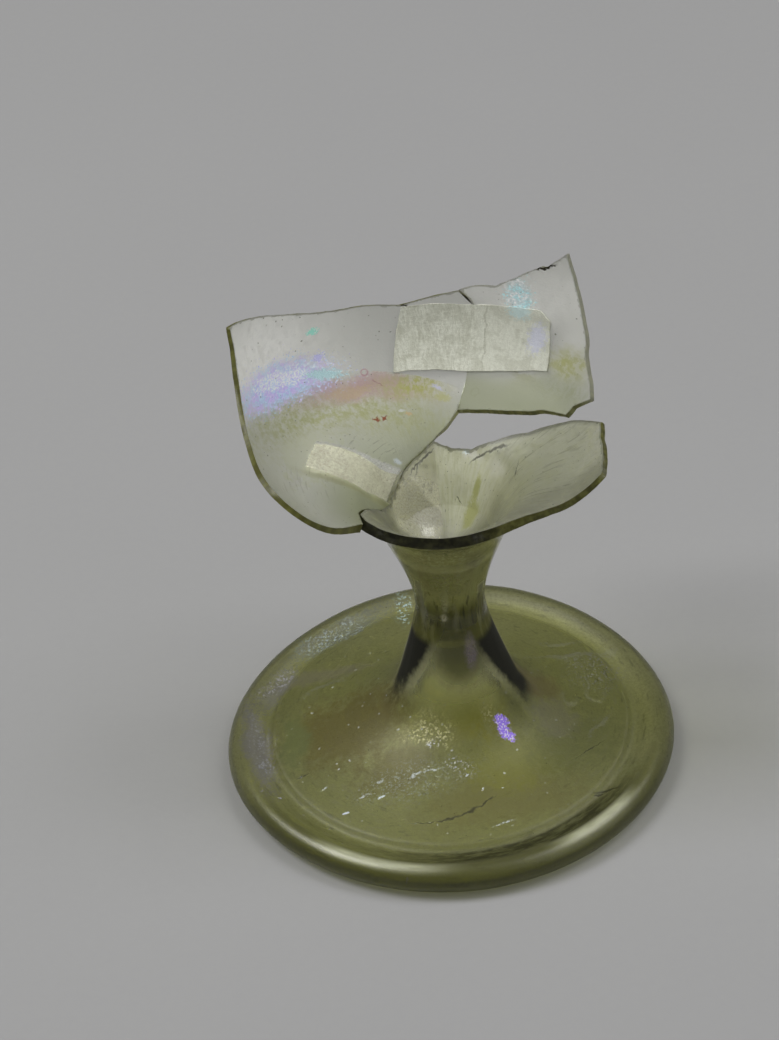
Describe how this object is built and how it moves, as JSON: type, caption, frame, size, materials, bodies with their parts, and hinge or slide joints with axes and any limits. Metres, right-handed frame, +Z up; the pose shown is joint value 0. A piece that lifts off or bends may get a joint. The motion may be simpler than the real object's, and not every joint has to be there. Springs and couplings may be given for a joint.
{
  "type": "broken stemmed wine glass",
  "caption": "Broken blown wine glass of weathered pale olive glass on its foot, the back of the bowl held together with paper tape.",
  "frame": {"origin": "on the table under the middle of the foot", "axes": "+Z up, the lost front of the bowl faces -Y, +X to the right of someone facing the open front"},
  "size_m": [0.0503, 0.0503, 0.0525],
  "materials": {
    "foot_glass": "weathered, clear to dull olive with a thin iridescent film",
    "left_wall_glass": "weathered, milky with violet, pink and yellow-green film",
    "right_wall_glass": "weathered, milky with small cyan and yellow-green patches",
    "upper_tape_paper": "matt, pale cream, fibrous",
    "lower_tape_paper": "matt, pale cream, stained"
  },
  "bodies": {
    "root": {"base_foot_and_stem": "foot_glass", "left_wall_shard": "left_wall_glass", "right_wall_shard": "right_wall_glass", "upper_tape_patch": "upper_tape_paper", "lower_tape_patch": "lower_tape_paper"}
  },
  "joints": []
}
